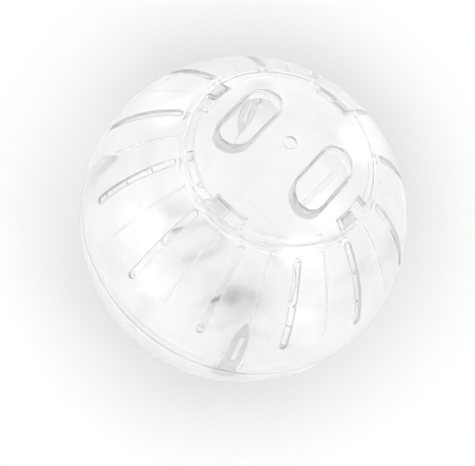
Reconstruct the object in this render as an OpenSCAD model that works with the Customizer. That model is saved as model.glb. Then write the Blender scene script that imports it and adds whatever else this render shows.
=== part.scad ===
// Clear exercise ball for a small pet: two alike halves that push together at a seam,
// each with a ring of vent slots and a twist lid with two finger holes and an axle hole.
// Millimetres. The centre of the ball is the origin and the lids' shared axis is Z.
// The first vent slot lies over X. One half turned over about X is the other half.

/* [Ball] */
// Outer diameter of the closed ball
ball_d = 140; // [126:1:170]
// Thickness of the two half shells
shell_wall = 1.6; // [1.2:0.1:2.2]
// Gap between pieces that fit, turn or slide on each other
fit_gap = 0.3; // [0.2:0.05:0.4]

/* [Vents and ribs] */
// Number of vent slots round each half
slot_count = 12; // [4:8:20]
// Width of a vent slot
slot_w = 2.6; // [1.6:0.1:4]
// Distance from the lid's collar to the top of a slot
slot_below_collar = 2.9; // [2:0.1:8]
// Height of the bottom of a slot above the seam
slot_above_seam = 21.2; // [14:0.1:30]
// Width of the ribs midway between the slots
rib_w = 0.9; // [0.6:0.1:1.6]
// How far the ribs stand in from the wall
rib_h = 0.8; // [0.4:0.1:1.6]
// Height of the bottom of a rib above the seam
rib_above_seam = 24; // [18:0.5:34]

/* [Lid] */
// Diameter of a lid
lid_d = 75.8; // [70:0.2:80]
// Thickness of a lid
lid_wall = 1.6; // [1.2:0.1:2.2]
// Diameter of the axle hole in the middle of a lid
axle_d = 5.2; // [3:0.1:8]
// Length of a finger hole
finger_len = 31; // [24:0.5:36]
// Width of a finger hole
finger_w = 13; // [9:0.5:15]
// Distance between the middles of the two finger holes
finger_spacing = 37; // [30:0.5:40]
// Thickness of the collar round a finger hole
finger_wall = 1.2; // [0.8:0.1:2]
// Depth of a finger hole, from the outside to the collar's inner edge
finger_depth = 6.3; // [4:0.1:9]

/* [Lid seat and lock] */
// Width of the thick collar round the lid
collar_w = 2.2; // [1.6:0.1:3.5]
// Size of the bevel on the collar's inner edge
collar_bevel = 0.8; // [0.4:0.1:1.2]
// How far the ledge under the lid reaches in from its seat
ledge_w = 3.4; // [2.4:0.1:4.5]
// Thickness of the ledge under the lid
ledge_t = 1.6; // [1:0.1:2.4]
// Number of locking lugs round the lid
lug_count = 4; // [2:1:4]
// Thickness of a locking lug
lug_t = 1; // [0.8:0.1:1.4]
// How far a lug reaches in over the lid's pocket
lug_reach = 3.9; // [3:0.1:5]
// Thickness of the floor and walls of a lid pocket
pocket_wall = 1.1; // [0.8:0.1:1.6]
// Depth of the relief in the lid's edge in which the stop runs
relief_in = 1.95; // [1.2:0.05:2.6]

/* [Seam and latches] */
// How far a latch prong reaches past the seam
prong_len = 30; // [20:0.5:36]
// Width of a latch prong
prong_w = 6.4; // [5:0.1:9]
// Thickness of a latch prong
prong_t = 1.8; // [1.2:0.1:2.4]
// Length of the pointed end of a prong
prong_point = 12; // [8:0.5:16]
// Width of the slit in a prong
slit_w = 1.6; // [1:0.1:2.2]
// Width of the foot that a prong stands on
foot_w = 9.2; // [7:0.1:12]
// Height of the foot that a prong stands on
foot_h = 8; // [5:0.5:12]
// Height of the socket that takes a prong
socket_h = 9.5; // [7:0.5:14]
// Thickness of the socket's two side rails
socket_wall = 1.5; // [1:0.1:2.2]
// How far the lapping lip reaches past the seam
lip_h = 2.5; // [1.5:0.1:4]
// Thickness of the lapping lip
lip_t = 1; // [0.8:0.1:1.6]

/* [Hidden] */
$fn = 96;

// Overrun of every cut past the face that it opens
over = 1;
// Angle from the first vent slot to the first finger hole and lid pocket
lid_angle = 13;
// Angle that one locking lug takes up
lug_angle = 10.5;
// Angle from the first lid pocket to the stop, and the angle that the stop takes up
stop_from_pocket = 44;
stop_angle = 5;
// Angles of the latch sockets of the upper half, and of its prongs
socket_angles = [45, 135];
prong_angles = [-45, -135];

r_out = ball_d / 2;
lid_r = lid_d / 2;
seat_r = lid_r + fit_gap;
collar_r = seat_r + collar_w;
half_gap = fit_gap / 2;

// Angle that a length along a circle takes up
function turned(length, radius) = length / radius * 180 / PI;

// Depths are counted inwards from the ball's outer surface
lid_sunk = lug_t / 5;
floor_depth = lid_sunk + lug_t + fit_gap;
pocket_depth = floor_depth + pocket_wall;
ledge_depth = lid_wall + fit_gap;
collar_depth = ledge_depth + ledge_t + fit_gap;
lap_depth = shell_wall + fit_gap;
rail_depth = lap_depth + prong_t + 2 * fit_gap;

lug_r = seat_r - lug_reach;
pocket_r = lug_r - fit_gap;
relief_r = lid_r - relief_in;

// The lock works in angles: a lug, the gap beside it, and a wall at a pocket's end
gap_angle = turned(fit_gap, lid_r);
end_angle = turned(pocket_wall, lid_r);
turn_angle = lug_angle + 2 * gap_angle;
lock_pitch = 360 / lug_count;

slot_top = asin(collar_r / r_out) + turned(slot_below_collar, r_out);
slot_bottom = acos(slot_above_seam / r_out);
slot_mid = (slot_top + slot_bottom) / 2;
slot_len = 2 * r_out * sin((slot_bottom - slot_top) / 2);

// Whether the rib after slot i runs down to a latch
function over_latch(i) = ((i + 0.5) * 360 / slot_count - socket_angles[0]) % 90 == 0;

// Flat shapes

module stadium(length, width) {
    square([length - width, width], center = true);
    for (side = [-1, 1])
        translate([side * (length - width) / 2, 0])
            circle(d = width);
}

// Part of the ring between two depths, from radius x0 to x1 and from height y0 to y1
module band(depth0, depth1, x0, x1, y0, y1) {
    intersection() {
        difference() {
            circle(r = r_out - depth0);
            circle(r = r_out - depth1);
        }
        translate([x0, y0])
            square([x1 - x0, y1 - y0]);
    }
}

// The same, over the whole height above the seam
module cap_band(depth0, depth1, x0, x1) {
    band(depth0, depth1, x0, x1, half_gap, r_out + over);
}

// A prong's outline: straight sides and a pointed arch
module prong_outline() {
    arch_r = (pow(prong_point, 2) + pow(prong_w / 2, 2)) / prong_w;
    shoulder = prong_len - prong_point;
    translate([-prong_w / 2, -foot_h / 2])
        square([prong_w, shoulder + foot_h / 2]);
    intersection() {
        intersection_for (side = [-1, 1])
            translate([side * (arch_r - prong_w / 2), shoulder])
                circle(r = arch_r);
        translate([-prong_w / 2, shoulder])
            square([prong_w, prong_point + over]);
    }
}

// Solids

// Turns a band through part of a circle about the lids' axis
module sweep(from_angle, angle) {
    rotate([0, 0, from_angle])
        rotate_extrude(angle = angle)
            children();
}

// Everything between two depths, all round the ball
module layer(depth0, depth1) {
    difference() {
        sphere(r = r_out - depth0);
        sphere(r = r_out - depth1);
    }
}

// Pushes an outline out through the wall: its X lies along the seam and its Y upwards
module through_wall() {
    rotate([90, 0, 90])
        linear_extrude(height = r_out + over)
            children();
}

module around(count, first_angle) {
    for (i = [0 : count - 1])
        rotate([0, 0, first_angle + i * 360 / count])
            children();
}

module vent_slot() {
    rotate([0, slot_mid, 0])
        translate([0, 0, r_out / 2])
            linear_extrude(height = r_out)
                stadium(slot_len, slot_w);
}

module rib(lowest) {
    rotate([90, 0, 0])
        linear_extrude(height = rib_w, center = true)
            band(shell_wall / 2, shell_wall + rib_h, collar_r - collar_w / 2, r_out,
                 lowest, r_out);
}

// One prong standing up from a foot that lies below the seam
module prong() {
    slit_from = socket_h;
    slit_to = prong_len - prong_point / 2;
    intersection() {
        layer(lap_depth, lap_depth + prong_t);
        through_wall()
            difference() {
                union() {
                    prong_outline();
                    translate([-foot_w / 2, -foot_h])
                        square([foot_w, foot_h - half_gap]);
                }
                translate([0, (slit_from + slit_to) / 2])
                    rotate([0, 0, 90])
                        stadium(slit_to - slit_from, slit_w);
            }
    }
    intersection() {
        layer(shell_wall / 2, lap_depth + prong_t / 2);
        through_wall()
            translate([-foot_w / 2, -foot_h])
                square([foot_w, foot_h - half_gap]);
    }
}

// Two rails that guide the other half's prong along the wall
module socket() {
    channel = prong_w + 2 * fit_gap;
    width = channel + 2 * socket_wall;
    lowest = 2 * socket_wall / 3;
    intersection() {
        layer(shell_wall / 2, rail_depth);
        through_wall()
            difference() {
                translate([-width / 2, lowest])
                    square([width, socket_h]);
                translate([-channel / 2, 0])
                    square([channel, socket_h + lowest + over]);
            }
    }
}

// The lip laps inside the other half between the latches
module lip(from_angle, angle) {
    sweep(from_angle, angle)
        union() {
            band(lap_depth, lap_depth + lip_t, r_out / 2, r_out, -lip_h, 2 * lip_h);
            band(shell_wall / 2, lap_depth + lip_t / 2, r_out / 2, r_out, half_gap,
                 2 * lip_h - lip_t / 2);
        }
}

module lips() {
    // Angle from a latch's middle, and from X, to the end of a lip
    spare = turned(foot_w, r_out);
    first = prong_angles[0];
    last = prong_angles[1];
    lip(first + spare, -first - 2 * spare);
    lip(last + spare, first - last - 2 * spare);
    lip(-180 + spare, last + 180 - 2 * spare);
}

// Ledge under the lid, lugs over it and one stop
module lid_seat() {
    pocket_angle = 2 * turn_angle;
    ledge_start = lid_angle + pocket_angle / 2 + 2 * end_angle;
    ledge_angle = lock_pitch - pocket_angle - turn_angle - 4 * end_angle;
    lug_start = lid_angle - pocket_angle / 2 + gap_angle;
    for (i = [0 : lug_count - 1]) {
        sweep(ledge_start + i * lock_pitch, ledge_angle)
            cap_band(ledge_depth, ledge_depth + ledge_t, seat_r - ledge_w,
                     seat_r + collar_w / 2);
        sweep(lug_start + i * lock_pitch, lug_angle)
            cap_band(lid_sunk, lid_sunk + lug_t, lug_r, seat_r + collar_w / 2);
    }
    sweep(lid_angle + stop_from_pocket, stop_angle)
        cap_band(lid_sunk, ledge_depth + ledge_t / 2, relief_r + fit_gap,
                 seat_r + collar_w / 2);
}

module half_shell() {
    difference() {
        union() {
            rotate_extrude()
                union() {
                    cap_band(0, shell_wall, seat_r, r_out + over);
                    cap_band(shell_wall / 2, collar_depth, seat_r, collar_r);
                }
            for (i = [0 : slot_count - 1])
                rotate([0, 0, (i + 0.5) * 360 / slot_count])
                    rib(over_latch(i) ? prong_len + rib_w : rib_above_seam);
            for (angle = socket_angles)
                rotate([0, 0, angle])
                    socket();
        }
        around(slot_count, 0)
            vent_slot();
        collar_cone();
    }
    lid_seat();
    lips();
    for (angle = prong_angles)
        rotate([0, 0, angle])
            mirror([0, 0, 1])
                prong();
}

// Bevel on the collar's inner edge
module collar_cone() {
    edge_z = sqrt(pow(r_out, 2) - pow(seat_r, 2));
    cone_h = collar_bevel + 3 * over;
    translate([0, 0, edge_z - collar_bevel - over])
        cylinder(r1 = seat_r - over, r2 = seat_r - over + cone_h, h = cone_h);
}

module finger_hole() {
    translate([finger_spacing / 2, 0, r_out / 2])
        linear_extrude(height = r_out)
            rotate([0, 0, 90])
                stadium(finger_len, finger_w);
}

module finger_collar() {
    intersection() {
        translate([finger_spacing / 2, 0, r_out / 2])
            linear_extrude(height = r_out)
                rotate([0, 0, 90])
                    stadium(finger_len + 2 * finger_wall, finger_w + 2 * finger_wall);
        layer(lid_wall / 2, finger_depth);
    }
}

module twist_lid() {
    pocket_angle = 2 * turn_angle;
    pocket_start = lid_angle - pocket_angle / 2;
    relief_start = lid_angle + stop_from_pocket - gap_angle;
    relief_angle = lock_pitch + pocket_start + gap_angle - relief_start;
    difference() {
        union() {
            rotate_extrude()
                cap_band(0, lid_wall, 0, lid_r);
            for (i = [0 : lug_count - 1])
                sweep(pocket_start - end_angle + i * lock_pitch,
                      pocket_angle + 2 * end_angle)
                    cap_band(lid_wall / 2, pocket_depth, pocket_r - pocket_wall,
                             lid_r - fit_gap);
            around(2, lid_angle)
                finger_collar();
        }
        for (i = [0 : lug_count - 1]) {
            sweep(pocket_start + i * lock_pitch, pocket_angle)
                cap_band(-over, floor_depth, pocket_r, collar_r);
            sweep(pocket_start + turn_angle + i * lock_pitch, turn_angle)
                cap_band(-over, pocket_depth + over, pocket_r - half_gap, collar_r);
        }
        sweep(relief_start, relief_angle)
            cap_band(-over, pocket_depth + over, relief_r, collar_r);
        around(2, lid_angle)
            finger_hole();
        cylinder(d = axle_d, h = r_out + over);
    }
}

// Nodes

module upper_shell() {
    color([0.93, 0.95, 0.96, 0.45])
        half_shell();
}

module lower_shell() {
    color([0.88, 0.91, 0.93, 0.45])
        rotate([180, 0, 0])
            half_shell();
}

module upper_lid() {
    color([0.80, 0.86, 0.92, 0.55])
        twist_lid();
}

module lower_lid() {
    color([0.74, 0.80, 0.86, 0.55])
        rotate([180, 0, 0])
            twist_lid();
}

upper_shell();
lower_shell();
upper_lid();
lower_lid();
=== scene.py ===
import math

import bmesh
import bpy
from mathutils import Matrix, Vector


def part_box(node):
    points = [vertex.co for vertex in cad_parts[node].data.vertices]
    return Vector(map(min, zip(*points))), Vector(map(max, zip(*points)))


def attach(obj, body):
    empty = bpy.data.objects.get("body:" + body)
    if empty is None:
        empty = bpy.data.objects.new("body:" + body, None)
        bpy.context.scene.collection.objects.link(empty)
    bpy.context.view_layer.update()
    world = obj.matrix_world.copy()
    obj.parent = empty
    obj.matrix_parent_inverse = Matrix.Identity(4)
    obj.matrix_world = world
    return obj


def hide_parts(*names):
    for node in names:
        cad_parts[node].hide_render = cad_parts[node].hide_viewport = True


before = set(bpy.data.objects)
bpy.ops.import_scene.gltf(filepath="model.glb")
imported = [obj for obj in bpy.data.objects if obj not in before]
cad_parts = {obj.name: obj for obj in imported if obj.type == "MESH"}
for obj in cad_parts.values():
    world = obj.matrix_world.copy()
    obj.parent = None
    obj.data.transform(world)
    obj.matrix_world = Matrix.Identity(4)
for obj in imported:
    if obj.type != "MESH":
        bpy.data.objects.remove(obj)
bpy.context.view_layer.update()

MM = 0.001

# The ball's radius, from the frame's own box
BALL_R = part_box("upper_shell")[1].x

# Sizes in millimetres, the same as the frame's solids
R = BALL_R / MM
WALL = 1.6
GAP = 0.3
HALF_GAP = GAP / 2

# Vents and ribs
SLOT_COUNT = 12
SLOT_W = 2.6
SLOT_BELOW_COLLAR = 2.9
SLOT_ABOVE_SEAM = 21.2
RIB_W = 0.9
RIB_H = 0.8
RIB_ABOVE_SEAM = 24

# Lid
LID_R = 37.9
LID_WALL = 1.6
AXLE_R = 2.6
FINGER_LEN = 31
FINGER_W = 13
FINGER_FROM_AXIS = 18.5
FINGER_WALL = 1.2
FINGER_DEPTH = 6.3

# Lid seat and lock
COLLAR_W = 2.2
COLLAR_BEVEL = 0.8
LEDGE_W = 3.4
LEDGE_T = 1.6
LUG_COUNT = 4
LUG_T = 1.0
LUG_REACH = 3.9
POCKET_WALL = 1.1
RELIEF_IN = 1.95
LID_ANGLE = 13
LUG_ANGLE = 10.5
STOP_FROM_POCKET = 44
STOP_ANGLE = 5

# Seam and latches
PRONG_LEN = 30
PRONG_W = 6.4
PRONG_T = 1.8
PRONG_POINT = 12
SLIT_W = 1.6
FOOT_W = 9.2
FOOT_H = 8
SOCKET_H = 9.5
SOCKET_WALL = 1.5
RAIL_ABOVE_SEAM = 1.0
LIP_H = 2.5
LIP_T = 1.0
SOCKET_ANGLES = (45, 135)
PRONG_ANGLES = (-45, -135)

# Rounded edges, which the frame's solids leave sharp
EDGE = 0.35
FINE_EDGE = 0.15
CUTTER_EDGE = 0.1
CORNER = 0.3                           # where an edge's middle point lies, as a share of its size
BEVEL_SLOPE = 0.7                      # the collar's bevel, its width over its height
RIM_ARC = (0, 20, 40, 60, 78)          # degrees round a hole's rim
RIM_FLARE = 0.8                        # how far the rim's last slope runs on above the surface
RIB_ROUND = ((0.6, 0.06), (1, 0.3))    # shares of a rib's half width, and their depth below its top
COLLAR_ROUND = 0.35                    # rounding of a finger hole's collar, as a share of its wall
COLLAR_FLARE = 0.3                     # and inside its foot

# How far a piece that stands on a wall is sunk into it
SUNK = 0.6
# How far a cutter runs past a curved face, so that its flat end stays clear of it
CLEAR = 6.0
# How far a cutter runs past the lid's faces
OVER = 1
# Steps that keep faces of joined pieces out of one plane
LIP_OFF_SEAM = 0.1
ROOT_OFF_SEAM = 0.2
ROOT_IN_FOOT = 0.3
FOOT_STEP = 0.01
FINGER_STEP = 0.03

# The prong's mesh
BLADE_STEPS = 6
POINT_STEPS = 12
WAIST = 0.8                            # size of the waist as a share of the outline
WAIST_Z = (-2, -1.2, -0.4)             # heights of its points beside the foot
SLIT_SPREAD = 1.8                      # how soon the slit's points leave its ends for its sides

# Places that follow from the sizes
SEAT_R = LID_R + GAP
COLLAR_R = SEAT_R + COLLAR_W
LUG_SUNK = LUG_T / 5
FLOOR_DEPTH = LUG_SUNK + LUG_T + GAP
POCKET_DEPTH = FLOOR_DEPTH + POCKET_WALL
LEDGE_DEPTH = LID_WALL + GAP
COLLAR_DEPTH = LEDGE_DEPTH + LEDGE_T + GAP
LAP_DEPTH = WALL + GAP
RAIL_DEPTH = LAP_DEPTH + PRONG_T + 2 * GAP
LUG_R = SEAT_R - LUG_REACH
POCKET_R = LUG_R - GAP
RELIEF_R = LID_R - RELIEF_IN
GAP_ANGLE = math.degrees(GAP / LID_R)
END_ANGLE = math.degrees(POCKET_WALL / LID_R)
TURN_ANGLE = LUG_ANGLE + 2 * GAP_ANGLE
POCKET_ANGLE = 2 * TURN_ANGLE
LOCK_PITCH = 360 / LUG_COUNT
SLOT_PITCH = 360 / SLOT_COUNT
SLOT_TOP = math.asin(COLLAR_R / R) + SLOT_BELOW_COLLAR / R
SLOT_BOTTOM = math.acos(SLOT_ABOVE_SEAM / R)
SLOT_MID = (SLOT_TOP + SLOT_BOTTOM) / 2
SLOT_LEN = 2 * R * math.sin((SLOT_BOTTOM - SLOT_TOP) / 2)
FINGER_STRAIGHT = (FINGER_LEN - FINGER_W) / 2

# Fineness of the mesh: points round the ball, and the longest step of an arc
ROUND = 240
STEP = math.radians(1.5)


# Points

def height(x, y, depth):
    """Height of the surface at a depth below the ball's outside."""
    return math.sqrt((R - depth) ** 2 - x * x - y * y)


def spun(x, y, azimuth):
    """A place turned about the lids' axis by an angle in degrees."""
    a = math.radians(azimuth)
    return x * math.cos(a) - y * math.sin(a), x * math.sin(a) + y * math.cos(a)


def bend(start, corner, end, steps=4):
    """Points round a corner, ends included."""
    out = []
    for i in range(steps + 1):
        t = i / steps
        out.append(tuple((1 - t) ** 2 * a + 2 * t * (1 - t) * b + t * t * c
                         for a, b, c in zip(start, corner, end)))
    return out


def meridian(depth, theta0, theta1):
    """Points (radius, height) along the surface at a depth, ends included."""
    steps = max(1, round(abs(theta1 - theta0) / STEP))
    out = []
    for i in range(steps + 1):
        theta = theta0 + (theta1 - theta0) * i / steps
        out.append(((R - depth) * math.sin(theta), (R - depth) * math.cos(theta)))
    return out


def stadium(length, width, grow, side=12, end=16):
    """Outline of a slot with round ends along X, as points (x, y)."""
    straight = (length - width) / 2
    radius = width / 2 + grow
    out = []
    for sign in (1, -1):
        for i in range(end):
            a = math.radians(-90 + 180 * i / end)
            out.append((sign * (straight + radius * math.cos(a)), sign * radius * math.sin(a)))
        for i in range(side):
            x = straight * (1 - 2 * i / side)
            out.append((sign * x, sign * radius))
    return out


def inset(loop, by, most=0.9):
    """A loop of 2D points drawn in towards its middle by about that much."""
    cx = sum(p[0] for p in loop) / len(loop)
    cy = sum(p[1] for p in loop) / len(loop)
    out = []
    for x, y in loop:
        apart = math.hypot(x - cx, y - cy)
        keep = 1 - min(by / apart, most)
        out.append((cx + (x - cx) * keep, cy + (y - cy) * keep))
    return out


# Meshes

def make_mesh(name, points, faces):
    """An object of points given in millimetres, with its faces looking outwards."""
    mesh = bpy.data.meshes.new(name)
    mesh.from_pydata([tuple(c * MM for c in p) for p in points], [], faces)
    bm = bmesh.new()
    bm.from_mesh(mesh)
    bmesh.ops.recalc_face_normals(bm, faces=bm.faces)
    bm.to_mesh(mesh)
    bm.free()
    made = bpy.data.objects.new(name, mesh)
    bpy.context.scene.collection.objects.link(made)
    return made


def loft(name, rings, ring_shaped=False):
    """Skin over rings of equally many points, with flat ends unless it closes on itself."""
    n = len(rings[0])
    count = len(rings)
    points = [p for ring in rings for p in ring]
    faces = []
    for i in range(count if ring_shaped else count - 1):
        a = i * n
        b = (i + 1) % count * n
        for j in range(n):
            k = (j + 1) % n
            faces.append((a + j, a + k, b + k, b + j))
    if not ring_shaped:
        faces.append(tuple(reversed(range(n))))
        faces.append(tuple(range((count - 1) * n, count * n)))
    return make_mesh(name, points, faces)


def revolve(name, profile):
    """A closed profile of points (radius, height) turned right round."""
    rings = []
    for i in range(ROUND):
        a = 2 * math.pi * i / ROUND
        rings.append([(r * math.cos(a), r * math.sin(a), z) for r, z in profile])
    return loft(name, rings, ring_shaped=True)


def arc_block(name, start, angle, section, edge=FINE_EDGE):
    """A section of points (radius, height) swept through part of a circle.

    Its ends have fine edges, unless edge is 0."""
    r = max(p[0] for p in section)
    soft = math.degrees(edge / r)
    steps = max(2, round(math.radians(angle) / STEP))
    turns = [start + soft + (angle - 2 * soft) * i / steps for i in range(steps + 1)]
    if edge > 0:
        turns = [start] + turns + [start + angle]
    small = inset(section, edge)
    rings = []
    for turn in turns:
        a = math.radians(turn)
        loop = small if turn in (turns[0], turns[-1]) and edge > 0 else section
        rings.append([(x * math.cos(a), x * math.sin(a), z) for x, z in loop])
    return loft(name, rings)


def shelf(depth0, depth1, r0, r1, edge=FINE_EDGE):
    """Section between two depths, from a rounded inner edge at r0 out to r1."""
    def at(r, depth):
        return (r, height(r, 0, depth))
    steps = 3
    middle = (r0, (at(r0, depth0)[1] + at(r0, depth1)[1]) / 2)
    out = [at(r0 + edge + (r1 - r0 - edge) * i / steps, depth0) for i in range(steps + 1)]
    out += [at(r1 + (r0 + edge - r1) * i / steps, depth1) for i in range(steps + 1)]
    out += bend(out[-1], at(r0, depth1), middle, steps)[1:]
    out += bend(middle, at(r0, depth0), at(r0 + edge, depth0), steps)[1:-1]
    return out


def bar(name, azimuth, theta0, theta1, section):
    """A section of points (across, depth) run along a meridian, with fine edges at its ends."""
    steps = max(2, round(abs(theta1 - theta0) / STEP))
    soft = FINE_EDGE / R * (1 if theta1 > theta0 else -1)
    thetas = [theta0 + soft + (theta1 - theta0 - 2 * soft) * i / steps for i in range(steps + 1)]
    small = inset(section, FINE_EDGE)
    rings = []
    for theta in [theta0] + thetas + [theta1]:
        ring = []
        for across, depth in small if theta in (theta0, theta1) else section:
            out = (R - depth) * math.sin(theta)
            ring.append((*spun(out, across, azimuth), (R - depth) * math.cos(theta)))
        rings.append(ring)
    return loft(name, rings)


def combine(name, base, operation, tools):
    """The base with the tools joined on or cut away, as one closed mesh."""
    group = bpy.data.collections.new(name)
    bpy.context.scene.collection.children.link(group)
    for tool in tools:
        bpy.context.scene.collection.objects.unlink(tool)
        group.objects.link(tool)
    step = base.modifiers.new("combine", "BOOLEAN")
    step.operation = operation
    step.solver = "EXACT"
    step.operand_type = "COLLECTION"
    step.collection = group
    step.use_self = False
    graph = bpy.context.evaluated_depsgraph_get()
    mesh = bpy.data.meshes.new_from_object(base.evaluated_get(graph))
    made = bpy.data.objects.new(name, mesh)
    bpy.context.scene.collection.objects.link(made)
    for spent in tools + [base]:
        bpy.data.objects.remove(spent)
    bpy.data.collections.remove(group)
    return made


def flared_rim():
    """Pairs (growth, depth) from a hole's wall round its rim, and on to a cutter's end."""
    arcs = [math.radians(a) for a in RIM_ARC]
    steep = arcs[-1]
    rim = [(EDGE * (1 - math.cos(a)), EDGE * (1 - math.sin(a))) for a in arcs]
    rim.append((rim[-1][0] + RIM_FLARE * math.sin(steep), rim[-1][1] - RIM_FLARE * math.cos(steep)))
    rim.append((rim[-1][0], -CLEAR))
    return rim


# Shell

def shell_profile():
    """Half section of the wall and of the collar round the lid, from the seam up and back."""
    low = HALF_GAP
    seat_edge = height(SEAT_R, 0, 0)
    bevel_r = SEAT_R + COLLAR_BEVEL * BEVEL_SLOPE
    out = bend((R - EDGE, low), (R, low), (R, low + EDGE))
    out += meridian(0, math.acos((low + 2 * EDGE) / R), math.asin(bevel_r / R))
    out += bend((bevel_r, height(bevel_r, 0, 0)), (SEAT_R, seat_edge),
                (SEAT_R, seat_edge - COLLAR_BEVEL))[1:]
    foot_z = height(SEAT_R, 0, COLLAR_DEPTH)
    out += bend((SEAT_R, foot_z + EDGE), (SEAT_R, foot_z),
                (SEAT_R + EDGE, height(SEAT_R + EDGE, 0, COLLAR_DEPTH)))
    outer_z = height(COLLAR_R, 0, COLLAR_DEPTH)
    out += bend((COLLAR_R - EDGE, height(COLLAR_R - EDGE, 0, COLLAR_DEPTH)),
                (COLLAR_R, outer_z), (COLLAR_R, outer_z + EDGE))
    wall_z = height(COLLAR_R, 0, WALL)
    fillet_r = COLLAR_R + 2 * EDGE
    out += bend((COLLAR_R, wall_z - 2 * EDGE), (COLLAR_R, wall_z),
                (fillet_r, height(fillet_r, 0, WALL)))
    inner = R - WALL
    out += meridian(WALL, math.asin(fillet_r / inner), math.acos((low + 2 * EDGE) / inner))[1:]
    out += bend((inner, low + EDGE), (inner, low), (inner + EDGE, low))
    return out


def slot_cutter(azimuth):
    """A slot through the wall, with edges that flare to rounded rims."""
    rim = flared_rim()
    turn = Matrix.Rotation(math.radians(azimuth), 3, "Z") @ Matrix.Rotation(SLOT_MID, 3, "Y")
    rings = []
    for grow, depth in rim[::-1] + [(grow, WALL - depth) for grow, depth in rim]:
        rings.append([tuple(turn @ Vector((x, y, height(x, y, depth))))
                      for x, y in stadium(SLOT_LEN, SLOT_W, grow)])
    return loft("slot", rings)


def rib(azimuth, lowest):
    """A rib inside the wall, from the collar down to a height above the seam."""
    tip = WALL + RIB_H
    half = RIB_W / 2
    side = [(half * share, tip - below) for share, below in RIB_ROUND] + [(half, WALL - SUNK)]
    section = [(-across, depth) for across, depth in side[::-1]] + [(0, tip)] + side
    top = math.asin((COLLAR_R - COLLAR_W / 2) / (R - WALL))
    return bar("rib", azimuth, top, math.acos(lowest / (R - WALL)), section)


def socket(azimuth):
    """Two rails that guide the other half's prong."""
    inner = PRONG_W / 2 + GAP
    outer = inner + SOCKET_WALL
    soft = 2 * FINE_EDGE
    cut = soft * CORNER
    section = [(inner, WALL - SUNK), (inner, RAIL_DEPTH - soft),
               (inner + cut, RAIL_DEPTH - cut), (inner + soft, RAIL_DEPTH),
               (outer - soft, RAIL_DEPTH), (outer - cut, RAIL_DEPTH - cut),
               (outer, RAIL_DEPTH - soft), (outer, WALL - SUNK)]
    bottom = math.acos(RAIL_ABOVE_SEAM / (R - WALL))
    top = math.acos((RAIL_ABOVE_SEAM + SOCKET_H) / (R - WALL))
    return [bar("rail", azimuth, bottom, top, [(side * across, depth) for across, depth in section])
            for side in (-1, 1)]


def prong_loops(by):
    """Outline, waist and slit of an upright prong, drawn in by a small amount.

    Each is a loop of points (across, height). The waist lies between the other two, and keeps
    the skin between them inside the outline's corners."""
    half = PRONG_W / 2 - by
    foot = FOOT_W / 2 - by
    shoulder = PRONG_LEN - PRONG_POINT
    arch_r = (PRONG_POINT ** 2 + (PRONG_W / 2) ** 2) / PRONG_W
    right = [(0, -FOOT_H + by), (foot, -FOOT_H + by), (foot, -HALF_GAP - by),
             (half, -HALF_GAP - by + FOOT_STEP)]
    beside_foot = len(right)
    right += [(half, shoulder * i / BLADE_STEPS) for i in range(1, BLADE_STEPS + 1)]
    for i in range(1, POINT_STEPS):
        up = PRONG_POINT * i / POINT_STEPS
        right.append((math.sqrt(arch_r ** 2 - up ** 2) - arch_r + half, shoulder + up))
    tip = (0, PRONG_LEN - 2 * by)
    outline = right + [tip] + [(-x, z) for x, z in reversed(right[1:])]
    waist = [(0, WAIST_Z[0])] + [(WAIST * half, z) for z in WAIST_Z]
    waist += [(WAIST * x, min(z, shoulder) + WAIST * max(z - shoulder, 0))
              for x, z in right[beside_foot:] + [tip]]
    waist += [(-x, z) for x, z in reversed(waist[1:-1])]
    slit_to = PRONG_LEN - PRONG_POINT / 2
    half_slit = SLIT_W / 2 + by
    middle = (SOCKET_H + slit_to) / 2
    straight = (slit_to - SOCKET_H - SLIT_W) / 2
    slit = []
    for i in range(len(outline)):
        a = -math.pi / 2 + 2 * math.pi * i / len(outline)
        shift = straight * max(-1.0, min(1.0, SLIT_SPREAD * math.sin(a)))
        slit.append((half_slit * math.cos(a), middle + shift + half_slit * math.sin(a)))
    return outline, waist, slit


def hung(loop, depth, azimuth):
    """A loop of points (across, height) laid on the wall at a depth, upside down at an azimuth."""
    ring = []
    for across, up in loop:
        out = math.sqrt((R - depth) ** 2 - across * across - up * up)
        ring.append((*spun(out, across, azimuth), -up))
    return ring


def prong(azimuth):
    """A slit prong that reaches down past the seam, and the root that joins it to the wall."""
    near, far = LAP_DEPTH, LAP_DEPTH + PRONG_T
    levels = [(near, FINE_EDGE), (near + FINE_EDGE, 0), (far - FINE_EDGE, 0), (far, FINE_EDGE)]
    outer, inner = [], []
    for depth, by in levels:
        outline, waist, slit = prong_loops(by)
        outer.append(hung(outline, depth, azimuth))
        inner.append(hung(slit, depth, azimuth))
    near_waist, far_waist = hung(waist, near, azimuth), hung(waist, far, azimuth)
    blade = loft("prong", outer + [far_waist] + inner[::-1] + [near_waist], ring_shaped=True)
    half = FOOT_W / 2 - FINE_EDGE
    low = -FOOT_H + ROOT_IN_FOOT
    high = -HALF_GAP - ROOT_OFF_SEAM
    loop = [(-half, low), (half, low), (half, high), (-half, high)]
    root = loft("root", [hung(loop, depth, azimuth) for depth in (WALL - SUNK, near + PRONG_T / 2)])
    return blade, root


def lip(start, angle):
    """A lip inside the wall that laps the seam."""
    outer = R - LAP_DEPTH
    inner = outer - LIP_T
    top = 2 * LIP_H
    joint = R - WALL + SUNK
    section = [(outer, -LIP_H + FINE_EDGE), (outer - FINE_EDGE, -LIP_H),
               (inner + FINE_EDGE, -LIP_H), (inner, -LIP_H + FINE_EDGE),
               (inner, top - 2 * FINE_EDGE), (inner + 2 * FINE_EDGE, top), (joint, top),
               (joint, HALF_GAP + LIP_OFF_SEAM), (outer, HALF_GAP + LIP_OFF_SEAM)]
    return arc_block("lip", start, angle, section)


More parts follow.
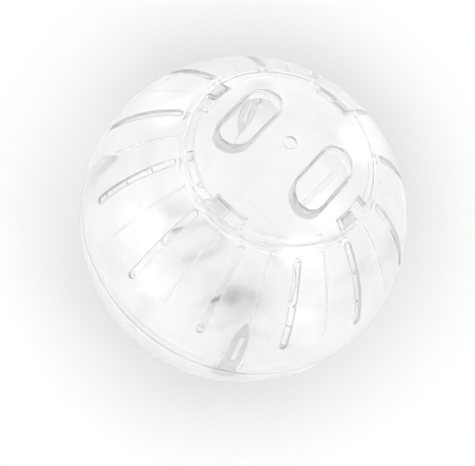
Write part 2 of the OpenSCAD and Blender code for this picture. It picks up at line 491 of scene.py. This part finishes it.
def lips():
    """Lips along the side of the prongs, clear of their feet."""
    spare = math.degrees(FOOT_W / R)
    first, last = PRONG_ANGLES
    return [lip(first + spare, -first - 2 * spare), lip(last + spare, first - last - 2 * spare),
            lip(-180 + spare, last + 180 - 2 * spare)]


def lid_seat():
    """The ledges and lugs that hold the lid, and the stop that ends its turn."""
    ledge_start = LID_ANGLE + POCKET_ANGLE / 2 + 2 * END_ANGLE
    ledge_angle = LOCK_PITCH - POCKET_ANGLE - TURN_ANGLE - 4 * END_ANGLE
    lug_start = LID_ANGLE - POCKET_ANGLE / 2 + GAP_ANGLE
    outer = SEAT_R + COLLAR_W / 2
    ledge = shelf(LEDGE_DEPTH, LEDGE_DEPTH + LEDGE_T, SEAT_R - LEDGE_W, outer)
    lug = shelf(LUG_SUNK, LUG_SUNK + LUG_T, LUG_R, outer)
    pieces = []
    for i in range(LUG_COUNT):
        pieces.append(arc_block("ledge", ledge_start + i * LOCK_PITCH, ledge_angle, ledge))
        pieces.append(arc_block("lug", lug_start + i * LOCK_PITCH, LUG_ANGLE, lug))
    stop = arc_block("stop", LID_ANGLE + STOP_FROM_POCKET, STOP_ANGLE,
                     shelf(LUG_SUNK, LEDGE_DEPTH + LEDGE_T / 2, RELIEF_R + GAP, outer))
    return pieces, stop


def half_shell(name):
    ribs = []
    for i in range(SLOT_COUNT):
        azimuth = (i + 0.5) * SLOT_PITCH
        over_latch = (azimuth - SOCKET_ANGLES[0]) % 90 == 0
        ribs.append(rib(azimuth, PRONG_LEN + RIB_W if over_latch else RIB_ABOVE_SEAM))
    seat, stop = lid_seat()
    rails, blades, roots = [], [], []
    for azimuth in SOCKET_ANGLES:
        rails += socket(azimuth)
    for azimuth in PRONG_ANGLES:
        blade, root = prong(azimuth)
        blades.append(blade)
        roots.append(root)
    shell = revolve("wall", shell_profile())
    slots = [slot_cutter(i * SLOT_PITCH) for i in range(SLOT_COUNT)]
    shell = combine("cut_wall", shell, "DIFFERENCE", slots)
    shell = combine("ribbed_wall", shell, "UNION", ribs + seat + rails + blades + lips())
    return combine(name, shell, "UNION", roots + [stop])


# Lid

def lid_profile():
    """Half section of the lid's cap, from the axle hole out and back."""
    near, rim, inner = AXLE_R + EDGE, LID_R - EDGE, R - LID_WALL
    axle_top, axle_low = height(AXLE_R, 0, 0), height(AXLE_R, 0, LID_WALL)
    rim_top, rim_low = height(LID_R, 0, 0), height(LID_R, 0, LID_WALL)
    out = bend((AXLE_R, axle_top - EDGE), (AXLE_R, axle_top), (near, height(near, 0, 0)))
    out += meridian(0, math.asin(near / R), math.asin(rim / R))[1:]
    out += bend((rim, height(rim, 0, 0)), (LID_R, rim_top), (LID_R, rim_top - EDGE))[1:]
    out += bend((LID_R, rim_low + EDGE), (LID_R, rim_low), (rim, height(rim, 0, LID_WALL)))
    out += meridian(LID_WALL, math.asin(rim / inner), math.asin(near / inner))[1:]
    out += bend((near, height(near, 0, LID_WALL)), (AXLE_R, axle_low),
                (AXLE_R, axle_low + EDGE))[1:]
    return out


def finger_rings(levels, azimuth):
    """Rings of a stadium round a finger hole, at pairs of (growth, depth)."""
    rings = []
    for grow, depth in levels:
        ring = []
        for along, across in stadium(FINGER_LEN, FINGER_W, grow):
            x = FINGER_FROM_AXIS - across
            ring.append((*spun(x, along, azimuth), height(x, along, depth)))
        rings.append(ring)
    return rings


def finger_collar(azimuth):
    edge = FINGER_WALL * COLLAR_ROUND
    levels = [(FINGER_WALL, LID_WALL / 2), (FINGER_WALL, FINGER_DEPTH - edge),
              (FINGER_WALL - edge * CORNER, FINGER_DEPTH - edge * CORNER),
              (FINGER_WALL - edge, FINGER_DEPTH), (-GAP, FINGER_DEPTH), (-GAP, LID_WALL / 2)]
    return loft("collar", finger_rings(levels, azimuth), ring_shaped=True)


def finger_cutter(azimuth):
    low = FINGER_WALL * COLLAR_FLARE
    foot = [(0, FINGER_DEPTH - low), (low * CORNER, FINGER_DEPTH - low * CORNER),
            (low, FINGER_DEPTH + FINGER_STEP), (low, FINGER_DEPTH + OVER)]
    return loft("finger", finger_rings(flared_rim()[::-1] + foot, azimuth))


def twist_lid(name):
    start = LID_ANGLE - POCKET_ANGLE / 2
    relief_start = LID_ANGLE + STOP_FROM_POCKET - GAP_ANGLE
    relief_angle = LOCK_PITCH + start + GAP_ANGLE - relief_start
    far = COLLAR_R
    block = shelf(LID_WALL / 2, POCKET_DEPTH, POCKET_R - POCKET_WALL, LID_R - GAP)
    recess = shelf(-OVER, FLOOR_DEPTH, POCKET_R, far, CUTTER_EDGE)
    notch = shelf(-OVER, POCKET_DEPTH + OVER, POCKET_R - HALF_GAP, far, CUTTER_EDGE)
    blocks, recesses, notches = [], [], []
    for i in range(LUG_COUNT):
        turn = start + i * LOCK_PITCH
        blocks.append(arc_block("pocket", start - END_ANGLE + i * LOCK_PITCH,
                                POCKET_ANGLE + 2 * END_ANGLE, block))
        recesses.append(arc_block("recess", turn, POCKET_ANGLE, recess, 0.0))
        notches.append(arc_block("notch", start + TURN_ANGLE + i * LOCK_PITCH,
                                 TURN_ANGLE - GAP_ANGLE / 2, notch, 0.0))
    relief = arc_block("relief", relief_start, relief_angle,
                       shelf(-OVER, POCKET_DEPTH + OVER, RELIEF_R, far + OVER, CUTTER_EDGE), 0.0)
    sides = (LID_ANGLE, LID_ANGLE + 180)
    lid = revolve("cap", lid_profile())
    lid = combine("cap_blocks", lid, "UNION", blocks + [finger_collar(a) for a in sides])
    lid = combine("cap_pockets", lid, "DIFFERENCE", recesses + [finger_cutter(a) for a in sides])
    lid = combine("cap_notches", lid, "DIFFERENCE", notches)
    return combine(name, lid, "DIFFERENCE", [relief])


# Kinds of faces, by where they lie, in the order of a piece's materials. SKIN is the ball's own
# surface, THICK a finger hole's collar, a latch or the seam, LUG a lug or a pocket, and FROSTED
# a face of a latch that looks inwards or into its slit. The grades of CUT, LUG and THICK carry
# painted shade, darkest on THICK; the FROSTED grade is pale and cloudy.
SKIN, CUT, THICK, LUG, FROSTED = range(5)
NEAR = 0.1                # how far past a form's size a face may lie and still belong to it
CLOSE = 0.05
SEAM_EDGE = 0.6           # how far from the seam's plane a face is still the seam's
INWARD = -0.75            # most cosine to the outward direction of a face that looks inwards


# Painted shade by kind: a finger hole's collar takes the darkest grade, but at the hole's end
# towards -along the lighter grade of the cut edges
def kind_in_lid(x, y):
    side, along = spun(x, y, -LID_ANGLE)
    apart = math.hypot(abs(side) - FINGER_FROM_AXIS, max(abs(along) - FINGER_STRAIGHT, 0))
    if -GAP < apart - FINGER_W / 2 < FINGER_WALL + 2 * NEAR:
        return THICK if along > -FINGER_STRAIGHT else CUT
    return LUG if POCKET_R - POCKET_WALL - NEAR < math.hypot(x, y) < LID_R - NEAR else CUT


# Painted shade by kind: a latch's outer faces and the seam take the darkest grade, and a latch's
# inward faces below the lip and its slit's inside the pale frosted one
def kind_in_shell(x, y, z, depth, inward):
    for azimuth in PRONG_ANGLES:
        out, across = spun(x, y, -azimuth)
        across = abs(across)
        by_foot = out > 0 and across < FOOT_W / 2 + NEAR and z < FOOT_H + NEAR
        if by_foot and depth > WALL + CLOSE:
            slit = (across < SLIT_W / 2 + CLOSE
                    and -PRONG_LEN + PRONG_POINT / 3 < z < -SOCKET_H + SLIT_W)
            middle = LAP_DEPTH + CLOSE < depth < LAP_DEPTH + PRONG_T - CLOSE
            return FROSTED if inward and z < -LIP_H or slit and middle else THICK
    if z > 0 and math.hypot(x, y) < SEAT_R - CLOSE and depth < LEDGE_DEPTH - CLOSE:
        return LUG
    return THICK if abs(z) < SEAM_EDGE and depth < WALL - CLOSE else CUT


def kind_of(face, lid):
    point = face.calc_center_median()
    x, y, z = point / MM
    if lid:
        return kind_in_lid(x, y)
    inward = face.normal.dot(point.normalized()) < INWARD
    return kind_in_shell(x, y, z, R - point.length / MM, inward)


# How a mesh is cleaned
MERGE = 0.002             # points this close become one
SLIVER = 0.001            # edges this short go
ON_SURFACE = 0.03         # a point this close to a sphere lies on it
LEVEL = 0.985             # least cosine of a face on a sphere to the outward direction
ROUNDED = 0.93            # and of a rim's corner that takes the sphere's normal
SHARP = math.radians(38)


def smooth(obj, radii, lid):
    """Puts points near the ball's surfaces exactly on them, with those surfaces' true normals."""
    mesh = obj.data
    bm = bmesh.new()
    bm.from_mesh(mesh)
    bmesh.ops.remove_doubles(bm, verts=bm.verts, dist=MERGE * MM)
    bmesh.ops.dissolve_degenerate(bm, edges=bm.edges, dist=SLIVER * MM)
    bmesh.ops.triangulate(bm, faces=[f for f in bm.faces if len(f.verts) > 4])
    bm.normal_update()
    on = {}
    for face in bm.faces:
        if abs(face.normal.dot(face.calc_center_median().normalized())) < LEVEL:
            continue
        for r in radii:
            if all(abs(v.co.length - r * MM) < ON_SURFACE * MM for v in face.verts):
                on[face.index] = r
                break
    held = {}
    bm.faces.index_update()
    for face in bm.faces:
        if face.index in on:
            for v in face.verts:
                held[v.index] = on[face.index] * MM
    bm.verts.ensure_lookup_table()
    for index, r in held.items():
        v = bm.verts[index]
        v.co = v.co.normalized() * r
    bm.normal_update()
    for edge in bm.edges:
        edge.smooth = len(edge.link_faces) == 2 and edge.calc_face_angle(0) < SHARP
    signs = {}
    for face in bm.faces:
        face.smooth = True
        if face.index in on:
            signs[face.index] = 1 if face.normal.dot(face.calc_center_median()) > 0 else -1
        face.material_index = SKIN if face.index in on else kind_of(face, lid)
    bm.to_mesh(mesh)
    bm.free()
    normals = [Vector(n.vector) for n in mesh.corner_normals]
    for polygon in mesh.polygons:
        for corner in polygon.loop_indices:
            v = mesh.loops[corner].vertex_index
            if polygon.index in on:
                normals[corner] = mesh.vertices[v].co.normalized() * signs[polygon.index]
            elif v in held:
                radial = mesh.vertices[v].co.normalized()
                across = normals[corner].dot(radial)
                if abs(across) > ROUNDED:
                    normals[corner] = radial * (1 if across > 0 else -1)
    mesh.normals_split_custom_set(normals)
    return obj


# Camera, from the places of the slots, the lid and the seam in the photograph

PHOTO_W = 475
AXIS_TILT = math.radians(29.1759)      # the lids' axis against the line of sight
AXIS_LEAN = math.radians(58.3563)      # its direction in the picture, from the right towards up
SLOT_TURN = math.radians(157.2010)     # turn of the first slot about the axis
CAMERA_AWAY = 7.75189                  # distance to the ball's centre, in ball radii
CAMERA_RIGHT = -0.034472               # shift of the camera, in ball radii
CAMERA_UP = -0.084165
FOCAL_PX = 1257.613
SENSOR_MM = 36.0
CLIP_START = 0.01
CLIP_END = 50


def object_axes():
    """The object's X, Y and Z as seen by the camera."""
    tilt, lean = AXIS_TILT, AXIS_LEAN
    axis = Vector((math.sin(tilt) * math.cos(lean), math.sin(tilt) * math.sin(lean),
                   math.cos(tilt)))
    across = axis.cross(Vector((0, 0, 1))).normalized()
    along = axis.cross(across)
    slot = math.cos(SLOT_TURN) * across + math.sin(SLOT_TURN) * along
    side = -math.sin(SLOT_TURN) * across + math.cos(SLOT_TURN) * along
    return Matrix((slot, side, axis))


# Direction from the object towards the camera
SIGHT = object_axes() @ Vector((0, 0, 1))


def make_camera():
    turn = object_axes()
    data = bpy.data.cameras.new("camera")
    data.sensor_width = SENSOR_MM
    data.lens = FOCAL_PX / PHOTO_W * SENSOR_MM
    data.clip_start = CLIP_START
    data.clip_end = CLIP_END
    camera = bpy.data.objects.new("camera", data)
    place = turn @ (BALL_R * Vector((CAMERA_RIGHT, CAMERA_UP, CAMERA_AWAY)))
    camera.matrix_world = Matrix.Translation(place) @ turn.to_4x4()
    bpy.context.scene.collection.objects.link(camera)
    bpy.context.scene.camera = camera


# Node helpers

class Tree:
    """The node tree of a material or of the world."""

    def __init__(self, owner):
        owner.use_nodes = True
        self.tree = owner.node_tree
        self.tree.nodes.clear()

    def add(self, kind, **settings):
        node = self.tree.nodes.new(kind)
        inputs = settings.pop("inputs", {})
        for name, value in settings.items():
            setattr(node, name, value)
        for name, value in inputs.items():
            self.put(node, name, value)
        return node

    def put(self, node, name, value):
        socket = node.inputs[name]
        if isinstance(value, bpy.types.NodeSocket):
            self.tree.links.new(value, socket)
        else:
            socket.default_value = value

    def math(self, operation, *values):
        node = self.add("ShaderNodeMath", operation=operation, inputs=dict(enumerate(values)))
        return node.outputs[0]

    def measure(self, operation, *vectors):
        """A number from vectors: a length or a dot product."""
        node = self.add("ShaderNodeVectorMath", operation=operation,
                        inputs=dict(enumerate(vectors)))
        return node.outputs["Value"]

    def span(self, value, start, end, low=0.0, high=1.0, soft=False):
        """Takes a value between start and end to one between low and high."""
        node = self.add("ShaderNodeMapRange", interpolation_type="SMOOTHSTEP" if soft else "LINEAR",
                        inputs={"Value": value, "From Min": start, "From Max": end,
                                "To Min": low, "To Max": high})
        return node.outputs["Result"]

    def ramp(self, factor, stops):
        node = self.add("ShaderNodeValToRGB", inputs={"Fac": factor})
        elements = node.color_ramp.elements
        while len(elements) < len(stops):
            elements.new(0.5)
        for element, (place, value) in zip(elements, stops):
            element.position = place
            element.color = (value, value, value, 1)
        return node.outputs["Color"]

    def mix_colours(self, factor, first, second):
        node = self.add("ShaderNodeMix", data_type="RGBA", inputs={0: factor, 6: first, 7: second})
        return node.outputs[2]

    def mix_shaders(self, factor, first, second):
        node = self.add("ShaderNodeMixShader", inputs={0: factor, 1: first, 2: second})
        return node.outputs[0]


# Clear moulded plastic

PLASTIC_IOR = 1.55
COAT = {"Coat Weight": 0.6, "Coat Roughness": 0.2, "Coat IOR": 1.5}
FLOW = {"Scale": 38.0, "Detail": 3.0, "Roughness": 0.45}       # unevenness from moulding
RIPPLE = {"Strength": 0.25, "Distance": 0.6 * MM}
SCUFFS = {"Scale": 620.0, "Detail": 4.0, "Roughness": 0.6}     # fine wear in the gloss
SCUFF_FROM, SCUFF_TO = 0.45, 0.75
SCUFF_HAZE = 0.06
MILK_COLOUR = (0.96, 0.965, 0.97, 1)
MILK_FROM, MILK_TO = 0.3, 0.7          # where in the flow the cloudiness changes
MILK_LEAST, MILK_MOST = 0.6, 1.4       # and by which factors
EDGE_ON = 0.2                          # light that a shadow loses where the wall is edge on
EDGE_ON_BLEND = 0.35
# Painted shade over the finger holes' walls: where it fades past their outer faces, and towards one
# end of the hole
WALL_FADE = (-0.15, 0.2)               # where the finger walls' shade ends, from their outer faces
END_FADE = (-3, 1)                     # and at the end that shows no wall


def painted_wall_shade(t, place):
    """Painted shade's mask: 1 on the skin over a finger hole's wall, 0 towards one end of the hole.
    """
    lined_up = t.add("ShaderNodeMapping", inputs={
        "Vector": place, "Rotation": (0, 0, -math.radians(LID_ANGLE)),
        "Scale": (1 / MM, 1 / MM, 1 / MM)}).outputs[0]
    part = t.add("ShaderNodeSeparateXYZ", inputs={0: lined_up}).outputs
    side = t.math("SUBTRACT", t.math("ABSOLUTE", part["X"]), FINGER_FROM_AXIS)
    past = t.math("SUBTRACT", t.math("ABSOLUTE", part["Y"]), FINGER_STRAIGHT)
    past = t.math("MAXIMUM", past, 0.0)
    reach = t.add("ShaderNodeCombineXYZ", inputs={"X": side, "Y": past}).outputs[0]
    edge = FINGER_W / 2 + FINGER_WALL
    ring = t.span(t.measure("LENGTH", reach), edge + WALL_FADE[0], edge + WALL_FADE[1], 1.0, 0.0,
                  soft=True)
    end = t.span(part["Y"], END_FADE[0] - FINGER_STRAIGHT, END_FADE[1] - FINGER_STRAIGHT, soft=True)
    return t.math("MULTIPLY", ring, end)


def clear_plastic(name, tint_and_shade, haze, milk, shade, rim=1.0, walls=None):
    """A grade of the clear plastic, by its tint and painted shade, roughness, cloudiness and light
    in its shadow.

    rim dims the tint where it is seen edge on, as painted shade, and walls is a darker tint painted
    as shade over finger holes' walls."""
    material = bpy.data.materials.new(name)
    t = Tree(material)
    place = t.add("ShaderNodeTexCoord").outputs["Object"]
    flow = t.add("ShaderNodeTexNoise", inputs={"Vector": place, **FLOW}).outputs["Fac"]
    scuffs = t.add("ShaderNodeTexNoise", inputs={"Vector": place, **SCUFFS}).outputs["Fac"]
    rough = t.span(scuffs, SCUFF_FROM, SCUFF_TO, haze, haze + SCUFF_HAZE)
    ripple = t.add("ShaderNodeBump", inputs={"Height": flow, **RIPPLE}).outputs["Normal"]
    colour = tint_and_shade
    # Painted shade: the tint dims where the surface is seen edge on
    if rim < 1.0:
        grazing = t.add("ShaderNodeLayerWeight", inputs={"Blend": 0.5, "Normal": ripple})
        dim = tuple(c * rim for c in tint_and_shade[:3]) + (1,)
        colour = t.mix_colours(grazing.outputs["Facing"], tint_and_shade, dim)
    # Painted shade: a darker tint over the finger holes' walls
    if walls:
        colour = t.mix_colours(painted_wall_shade(t, place), colour, walls)
    clear = t.add("ShaderNodeBsdfPrincipled", inputs={
        "Base Color": colour, "Roughness": rough, "IOR": PLASTIC_IOR, "Transmission Weight": 1.0,
        "Normal": ripple, "Coat Normal": ripple, **COAT}).outputs[0]
    inside = t.add("ShaderNodeBsdfTranslucent", inputs={"Color": MILK_COLOUR}).outputs[0]
    outside = t.add("ShaderNodeBsdfDiffuse", inputs={"Color": MILK_COLOUR}).outputs[0]
    mottle = t.span(flow, MILK_FROM, MILK_TO, milk * MILK_LEAST, milk * MILK_MOST)
    body = t.mix_shaders(mottle, clear, t.mix_shaders(0.5, inside, outside))
    facing = t.add("ShaderNodeLayerWeight", inputs={"Blend": EDGE_ON_BLEND}).outputs["Facing"]
    dark = shade - EDGE_ON
    tone = t.mix_colours(facing, (shade, shade, shade, 1), (dark, dark, dark, 1))
    shadow = t.add("ShaderNodeBsdfTransparent", inputs={"Color": tone}).outputs[0]
    path = t.add("ShaderNodeLightPath").outputs
    t.add("ShaderNodeOutputMaterial",
          inputs={"Surface": t.mix_shaders(path["Is Shadow Ray"], body, shadow)})
    return material


# Stage. A place x, y is in ball radii right of and above the ball's middle, as the camera sees it.

WHITE = (1, 1, 1, 1)
FLOOR_SIZE = 8
FLOOR_BELOW = 0.0002
# The painted shadow round the ball, paler in the middle where light through the ball is painted,
# by the distance from its middle as a share of this many ball radii
SHADOW_POOL_REACH = 2.5
SHADOW_POOL = [(0.0, 0.89), (0.3, 0.87), (0.38, 0.73), (0.41, 0.71), (0.46, 0.73), (0.56, 0.775),
        (0.8, 0.88)]
# Painted shade: the shadow is paler on the camera's side and darker on the far side
SHADOW_POOL_SIDE = 0.105                      # how much paler it is on the camera's side
SHADOW_POOL_CORE = 0.3                        # ball radii inside which that fades away
FADE_FROM, FADE_TO = 1.2, 2.2          # ball radii over which the floor turns white
# Painted contact shadow, and painted light that the ball gathers: place, size, full share and
# change of the grey
PAINTED_FLOOR_SPOTS = [
    (0.02, -0.48, 0.30, 0.2, -0.13),
    (-0.0715, -0.475, 0.068, 0.8, -0.6),
    (0.12, -0.50, 0.13, 0.3, -0.13),
    (0.4125, -0.652, 0.13, 0.1, 0.09),
    (-0.666, -0.436, 0.13, 0.1, 0.09)]

# Light of the sky level with the object, and what it gains upwards and behind the object
SKY, SKY_UP, SKY_BEHIND = 0.76, 0.25, 0.3
# The sky's soft glows: place of the reflection on the ball, half width in degrees and strength
GLOWS = [(-0.586, -0.078, 14, 4.0), (0.302, -0.202, 11, 3.5), (-0.05, 0.8, 32, 0.6)]

# Lamps: place of the reflection, whether the far wall's inside makes it, width and power
LAMPS = {
    "left": (-0.578, -0.068, False, 0.3, 0.9),
    "right": (0.339, -0.172, False, 0.26, 0.7),
    "back_right": (-0.64, -0.43, True, 0.24, 0.9),
    "back_left": (0.418, -0.619, True, 0.24, 0.9)}
LAMP_AWAY = 0.9
LAMP_LOWEST = 0.1


def on_floor(x, y):
    """The floor's point seen behind a place. The floor lies one ball radius below the middle."""
    start = object_axes() @ Vector((CAMERA_RIGHT, CAMERA_UP, CAMERA_AWAY))
    way = object_axes() @ Vector((x, y, 0)) - start
    return (start + way * ((-1 - start.z) / way.z)) * BALL_R


def round_spot(t, place, middle, size):
    """Coordinates round a point of the floor, and their length.

    The length is 1 on what the camera sees as a circle of that size, in ball radii."""
    spot = t.add("ShaderNodeMapping", vector_type="TEXTURE", inputs={
        "Vector": place, "Location": (middle.x, middle.y, 0),
        "Rotation": (0, 0, math.atan2(SIGHT.y, SIGHT.x)),
        "Scale": (size * BALL_R / SIGHT.z, size * BALL_R, 1)}).outputs[0]
    return spot, t.measure("LENGTH", spot)


def make_floor():
    bpy.ops.mesh.primitive_plane_add(size=FLOOR_SIZE, location=(0, 0, -BALL_R - FLOOR_BELOW))
    floor = bpy.context.object
    floor.name = "floor"
    material = bpy.data.materials.new("floor_painted_shadow")
    t = Tree(material)
    place = t.add("ShaderNodeTexCoord").outputs["Object"]
    # The floor's colour holds painted shade: the shadow round the ball, paler on the camera's side
    shadow_pool, apart = round_spot(t, place, on_floor(0, 0), 1.0)
    along = t.add("ShaderNodeSeparateXYZ", inputs={0: shadow_pool}).outputs["X"]
    side = t.math("DIVIDE", along, t.math("MAXIMUM", apart, SHADOW_POOL_CORE))
    side = t.math("MULTIPLY_ADD", side, SHADOW_POOL_SIDE, 1.0)
    painted_shadow_grey = t.math("MULTIPLY", t.ramp(t.math("DIVIDE", apart, SHADOW_POOL_REACH), SHADOW_POOL), side)
    # Painted contact shadow and painted light that the ball gathers, as spots in the floor's colour
    for x, y, size, full, change in PAINTED_FLOOR_SPOTS:
        near = round_spot(t, place, on_floor(x, y), size)[1]
        painted_shadow_grey = t.math("MULTIPLY", painted_shadow_grey, t.span(near, full, 1.0, 1.0 + change, 1.0, soft=True))
    paint = t.add("ShaderNodeBsdfDiffuse", inputs={"Color": painted_shadow_grey}).outputs[0]
    white = t.add("ShaderNodeEmission", inputs={"Color": WHITE, "Strength": 1.0}).outputs[0]
    path = t.add("ShaderNodeLightPath").outputs
    seen = t.math("MAXIMUM", path["Is Camera Ray"], path["Is Glossy Ray"])
    seen = t.math("MAXIMUM", seen, path["Is Transmission Ray"])
    fade = t.math("MULTIPLY", seen, t.span(apart, FADE_FROM, FADE_TO, soft=True))
    t.add("ShaderNodeOutputMaterial", inputs={"Surface": t.mix_shaders(fade, paint, white)})
    floor.data.materials.append(material)


def glint(x, y, concave=False):
    """Direction towards a light whose reflection shows at a place on the ball."""
    z = math.sqrt(1 - x * x - y * y)
    side = -2 * z if concave else 2 * z
    return object_axes() @ Vector((side * x, side * y, 2 * z * z - 1))


def make_world():
    world = bpy.data.worlds.new("studio")
    bpy.context.scene.world = world
    t = Tree(world)
    way = t.add("ShaderNodeTexCoord").outputs["Generated"]
    up = t.add("ShaderNodeSeparateXYZ", inputs={0: way}).outputs["Z"]
    behind = t.measure("DOT_PRODUCT", way, Vector((-SIGHT.x, -SIGHT.y, 0)).normalized())
    sky = t.math("MULTIPLY_ADD", t.math("MAXIMUM", up, 0.0), SKY_UP, SKY)
    sky = t.math("MULTIPLY_ADD", t.math("MAXIMUM", behind, 0.0), SKY_BEHIND, sky)
    for x, y, width, strength in GLOWS:
        near = t.measure("DOT_PRODUCT", way, glint(x, y))
        least = math.cos(math.radians(width))
        sky = t.math("ADD", sky, t.span(near, least, 1.0, 0.0, strength, soft=True))
    light = t.add("ShaderNodeBackground", inputs={"Color": sky, "Strength": 1.0}).outputs[0]
    white = t.add("ShaderNodeBackground", inputs={"Color": WHITE, "Strength": 1.0}).outputs[0]
    path = t.add("ShaderNodeLightPath").outputs
    t.add("ShaderNodeOutputWorld",
          inputs={"Surface": t.mix_shaders(path["Is Camera Ray"], light, white)})


def make_lamp(name, x, y, concave, size, power):
    """A soft round lamp that lights the ball without a reflection, which the glows make."""
    place = glint(x, y, concave).normalized() * LAMP_AWAY
    place.z = max(place.z, LAMP_LOWEST)
    data = bpy.data.lights.new(name, "AREA")
    data.shape = "DISK"
    data.size = size
    data.energy = power
    lamp = bpy.data.objects.new(name, data)
    lamp.location = place
    lamp.visible_glossy = False
    lamp.rotation_euler = (-place).to_track_quat("-Z", "Y").to_euler()
    bpy.context.scene.collection.objects.link(lamp)


def dress(make, upper, lower, nodes, bodies, materials, radii, lid):
    """Makes the upper piece, and the lower one as its turned copy, each in place of a node."""
    first = smooth(make(upper), radii, lid)
    second = bpy.data.objects.new(lower, first.data)
    bpy.context.scene.collection.objects.link(second)
    second.rotation_euler = (math.pi, 0, 0)
    kinds = [face.material_index for face in first.data.polygons]
    first.data.materials.clear()
    for material in materials:
        first.data.materials.append(material)
    first.data.polygons.foreach_set("material_index", kinds)
    for piece, node, body in zip((first, second), nodes, bodies):
        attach(piece, body)
        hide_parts(node)


make_camera()
make_floor()
make_world()
for lamp_name, settings in LAMPS.items():
    make_lamp(lamp_name, *settings)

# Grades with tints darker than the skin's carry painted shade: darkest on the latches and the seam,
# then the finger collars, the lid pockets, the lugs and the cut edges. The lid's skin is painted
# darker over the finger holes' walls.
CLEAR_TINT = (0.983, 0.985, 0.988, 1)
skin = clear_plastic("clear_plastic_skin", CLEAR_TINT, haze=0.12, milk=0.12, shade=0.98)
lid_skin = clear_plastic("clear_plastic_lid_skin_painted_shade", CLEAR_TINT, haze=0.12, milk=0.12, shade=0.98,
                         walls=(0.72, 0.725, 0.73, 1))
cut = clear_plastic("clear_plastic_cut_edges_painted_shade", (0.965, 0.97, 0.975, 1),
                    haze=0.08, milk=0.2, shade=0.95, rim=0.95)
lug = clear_plastic("clear_plastic_lugs_and_seam_painted_shade", (0.93, 0.935, 0.94, 1),
                    haze=0.08, milk=0.12, shade=0.95, rim=0.8)
latch = clear_plastic("clear_plastic_latches_painted_dark", (0.44, 0.445, 0.45, 1),
                      haze=0.06, milk=0.03, shade=0.9, rim=0.7)
frost = clear_plastic("clear_plastic_frosted", (0.95, 0.955, 0.96, 1),
                      haze=0.2, milk=0.75, shade=0.95)
collar = clear_plastic("clear_plastic_finger_collars_painted_dark", (0.66, 0.665, 0.67, 1),
                       haze=0.06, milk=0.05, shade=0.9, rim=0.6)
pocket = clear_plastic("clear_plastic_lid_pockets_painted_shade", (0.81, 0.815, 0.82, 1),
                       haze=0.08, milk=0.1, shade=0.95, rim=0.8)
dress(half_shell, "upper_shell_clear", "lower_shell_clear", ("upper_shell", "lower_shell"),
      ("upper_half", "lower_half"), (skin, cut, latch, lug, frost),
      (R, R - WALL), False)
dress(twist_lid, "upper_lid_clear", "lower_lid_clear", ("upper_lid", "lower_lid"),
      ("upper_lid", "lower_lid"), (lid_skin, cut, collar, pocket),
      (R, R - LID_WALL), True)

scene = bpy.context.scene
scene.view_settings.view_transform = "Standard"
scene.cycles.max_bounces = 24
scene.cycles.transmission_bounces = 24
scene.cycles.transparent_max_bounces = 24
